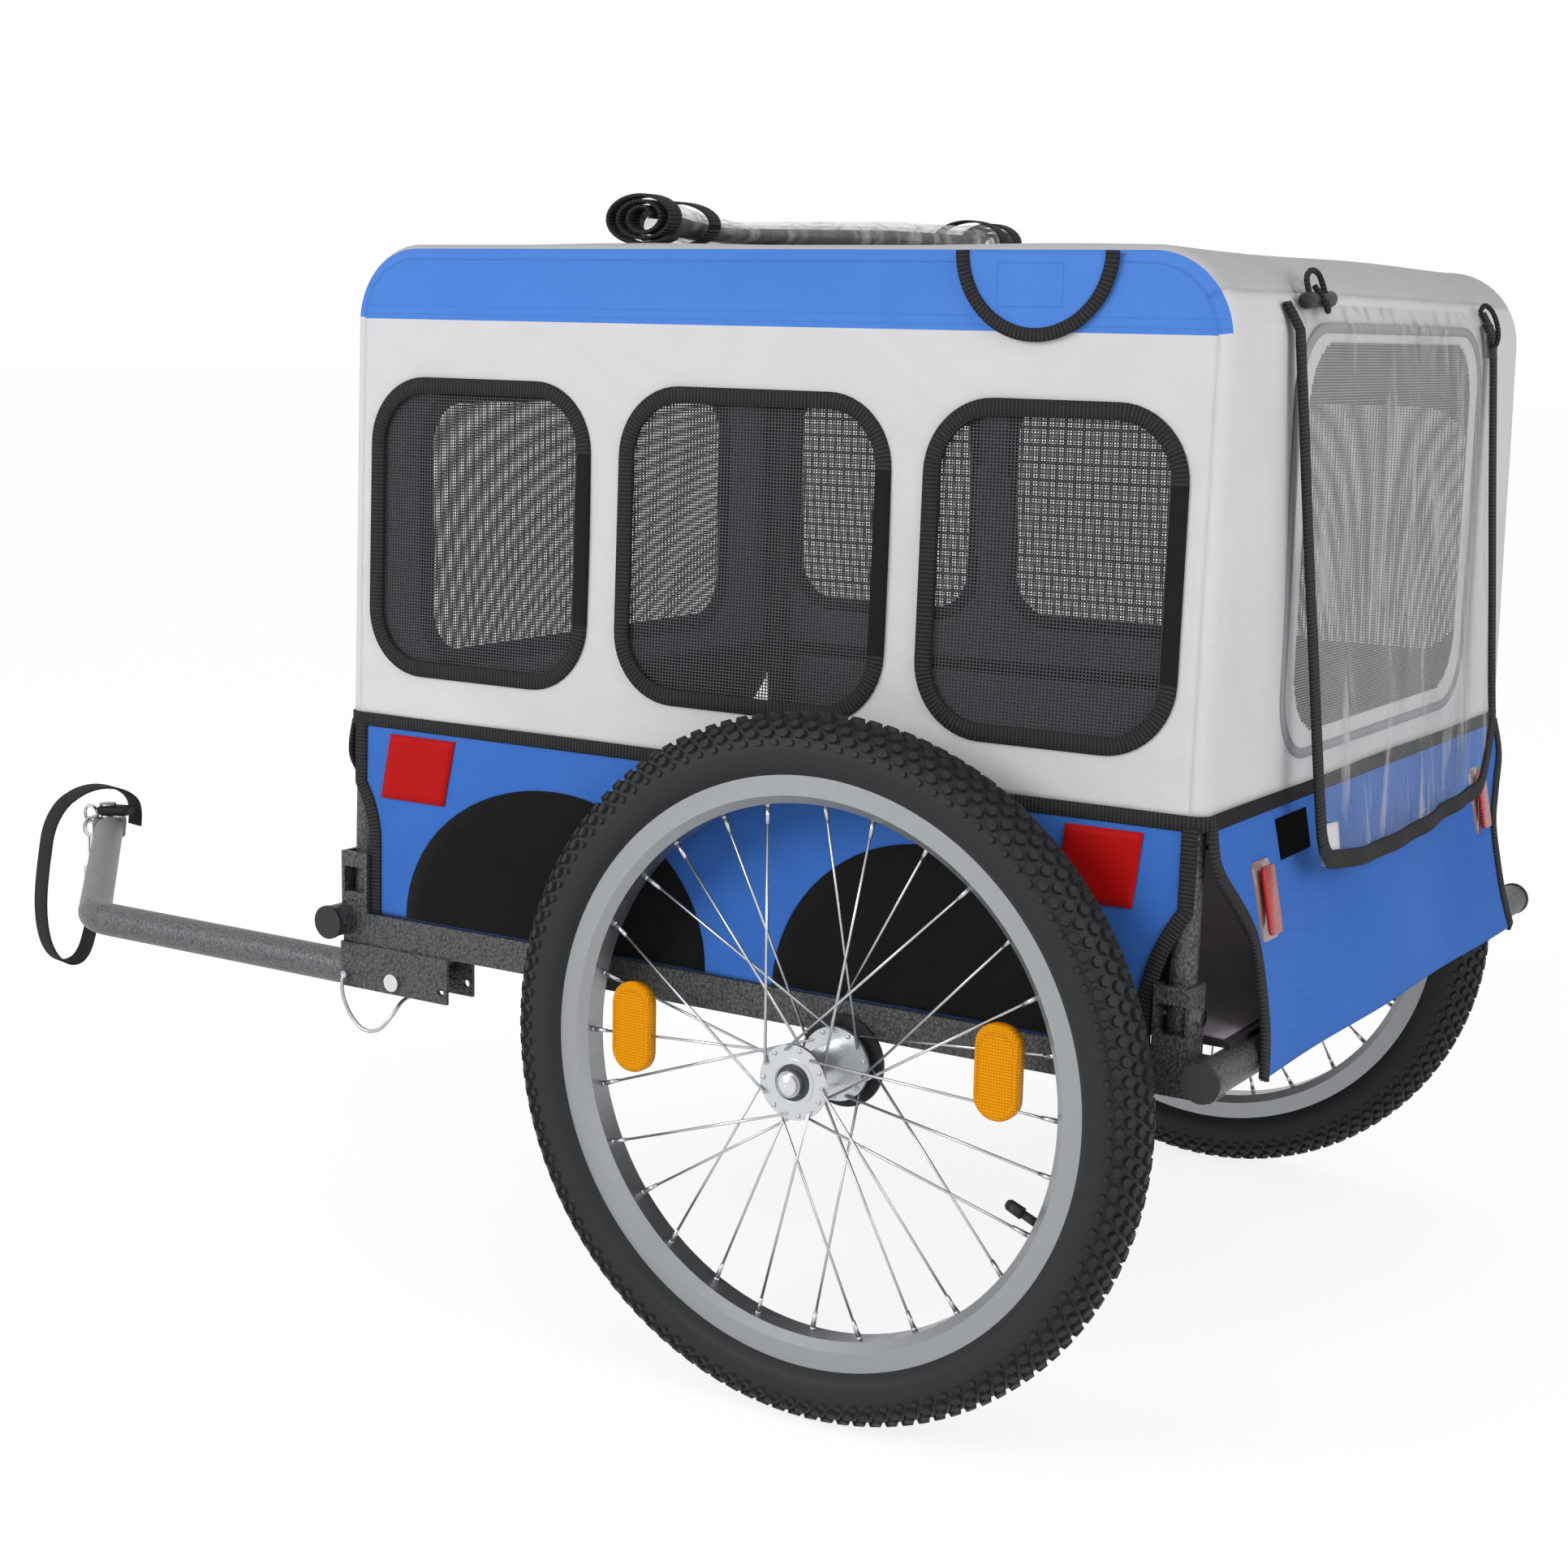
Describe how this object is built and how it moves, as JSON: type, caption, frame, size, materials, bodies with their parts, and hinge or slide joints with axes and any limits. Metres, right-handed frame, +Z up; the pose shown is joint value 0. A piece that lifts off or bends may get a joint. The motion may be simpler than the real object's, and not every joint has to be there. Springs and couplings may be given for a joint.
{
  "type": "folding pet bicycle trailer",
  "caption": "Two-wheeled pet trailer with mesh-windowed fabric cabin on fold-in hoops, bent side drawbar, hitch shackle, snap hook and webbing safety strap.",
  "frame": {"origin": "middle of the footprint on the ground, under the trailer, its loose strap left out", "axes": "+X towards the rear, +Y towards the right side as it travels, +Z up; the drawbar reaches to -X along the -Y side"},
  "size_m": [1.42, 0.7966, 0.8502],
  "materials": {
    "grey_hammered_paint": "hammered grey-black paint",
    "black_plastic": "moulded black plastic",
    "black_rubber": "moulded black rubber",
    "bright_chrome": "bright plated",
    "zinc_steel": "zinc plated",
    "floor_plastic": "black board",
    "liner_cloth": "grey-mauve woven nylon",
    "blue_cloth": "blue woven polyester",
    "black_binding": "black woven webbing",
    "grey_cloth": "light grey woven polyester",
    "black_mesh": "black open mesh",
    "clear_vinyl": "clear soft vinyl sheet",
    "red_reflector": "red prismatic plastic",
    "tyre_rubber": "black rubber",
    "silver_alloy": "silver alloy"
  },
  "bodies": {
    "base": {"front_cross_tube": "grey_hammered_paint", "rear_cross_tube": "grey_hammered_paint", "left_side_rail": "grey_hammered_paint", "right_side_rail": "grey_hammered_paint", "axle_crossbar": "grey_hammered_paint", "tube_end_caps": "black_plastic", "left_axle_receiver": "grey_hammered_paint", "right_axle_receiver": "grey_hammered_paint", "axle_guard_discs": "black_plastic", "left_front_hinge_bracket": "grey_hammered_paint", "left_rear_hinge_bracket": "grey_hammered_paint", "right_front_hinge_bracket": "grey_hammered_paint", "right_rear_hinge_bracket": "grey_hammered_paint", "hoop_pivot_bolts": "bright_chrome", "drawbar_bracket": "grey_hammered_paint", "drawbar_pivot_bolt": "bright_chrome", "floor_board": "floor_plastic", "floor_liner": "liner_cloth", "left_skirt": "blue_cloth", "right_skirt": "blue_cloth", "front_skirt": "blue_cloth", "rear_skirt": "blue_cloth", "waist_binding": "black_binding", "front_panel": "grey_cloth", "front_window_mesh": "black_mesh", "rear_panel": "grey_cloth", "roof_panel": "grey_cloth", "roof_window_mesh": "black_mesh", "roof_cover_roll": "clear_vinyl", "roof_side_flap": "blue_cloth", "rear_toggles": "black_plastic", "rear_reflectors": "red_reflector", "left_axle": "zinc_steel", "right_axle": "zinc_steel"},
    "left_hoop_frame": {"left_hoop": "grey_hammered_paint", "left_side_panel": "grey_cloth", "left_window_meshes": "black_mesh"},
    "right_hoop_frame": {"right_hoop": "grey_hammered_paint", "right_side_panel": "grey_cloth", "right_window_meshes": "black_mesh"},
    "rear_cover": {"rear_clear_cover": "clear_vinyl"},
    "rear_door": {"rear_mesh_door": "black_mesh"},
    "drawbar": {"drawbar": "grey_hammered_paint", "hitch_bolt": "bright_chrome", "strap_clamp": "black_rubber", "hitch_shackle": "bright_chrome"},
    "hanging_hook": {"snap_hook": "bright_chrome", "safety_strap": "black_binding"},
    "hook_bolt": {"snap_bolt": "bright_chrome"},
    "lock_pin": {"lock_pin": "zinc_steel"},
    "left_wheel": {"left_tyre": "tyre_rubber", "left_rim": "silver_alloy", "left_hub": "silver_alloy", "left_spokes": "zinc_steel"},
    "right_wheel": {"right_tyre": "tyre_rubber", "right_rim": "silver_alloy", "right_hub": "silver_alloy", "right_spokes": "zinc_steel"},
    "left_button": {"left_axle_button": "bright_chrome"},
    "right_button": {"right_axle_button": "bright_chrome"}
  },
  "joints": [
    {"name": "left_wheel_spin", "type": "hinge", "parent": "base", "child": "left_wheel", "pos_m": [0.40841, -0.357, 0.25], "axis": [0, 1, 0], "continuous": true},
    {"name": "right_wheel_spin", "type": "hinge", "parent": "base", "child": "right_wheel", "pos_m": [0.40841, 0.357, 0.25], "axis": [0, 1, 0], "continuous": true},
    {"name": "left_hoop_fold", "type": "hinge", "parent": "base", "child": "left_hoop_frame", "pos_m": [0.40841, -0.30349, 0.319], "axis": [-1, 0, 0], "range_deg": [0, 86]},
    {"name": "right_hoop_fold", "type": "hinge", "parent": "base", "child": "right_hoop_frame", "pos_m": [0.40841, 0.30349, 0.319], "axis": [1, 0, 0], "range_deg": [0, 66]},
    {"name": "rear_cover_lift", "type": "hinge", "parent": "base", "child": "rear_cover", "pos_m": [0.66281, 0, 0.7785], "axis": [0, -1, 0], "range_deg": [0, 150]},
    {"name": "rear_door_lift", "type": "hinge", "parent": "base", "child": "rear_door", "pos_m": [0.66771, 0, 0.763], "axis": [0, -1, 0], "range_deg": [0, 120]},
    {"name": "drawbar_fold", "type": "hinge", "parent": "base", "child": "drawbar", "pos_m": [-0.00359, -0.305, 0.242], "axis": [0, -1, 0], "range_deg": [0, 180]},
    {"name": "hook_swing", "type": "hinge", "parent": "drawbar", "child": "hanging_hook", "pos_m": [-0.68899, 0, 0.247], "axis": [0, 1, 0], "range_deg": [0, 180]},
    {"name": "hook_bolt_slide", "type": "slide", "parent": "hanging_hook", "child": "hook_bolt", "axis": [0, 0, -1], "range_m": [0, 0.004], "stiffness_N_per_m": 200, "springref_m": -0.003},
    {"name": "lock_pin_pull", "type": "slide", "parent": "base", "child": "lock_pin", "axis": [0, 1, 0], "range_m": [0, 0.06]},
    {"name": "left_button_press", "type": "slide", "parent": "base", "child": "left_button", "axis": [0, 1, 0], "range_m": [0, 0.003], "stiffness_N_per_m": 600, "springref_m": -0.001},
    {"name": "right_button_press", "type": "slide", "parent": "base", "child": "right_button", "axis": [0, -1, 0], "range_m": [0, 0.003], "stiffness_N_per_m": 600, "springref_m": -0.001}
  ],
  "couplings": [
    {"joint": "rear_door_lift", "follows": "rear_cover_lift", "ratio": 0.8},
    {"joint": "hook_swing", "follows": "drawbar_fold", "ratio": 1}
  ]
}
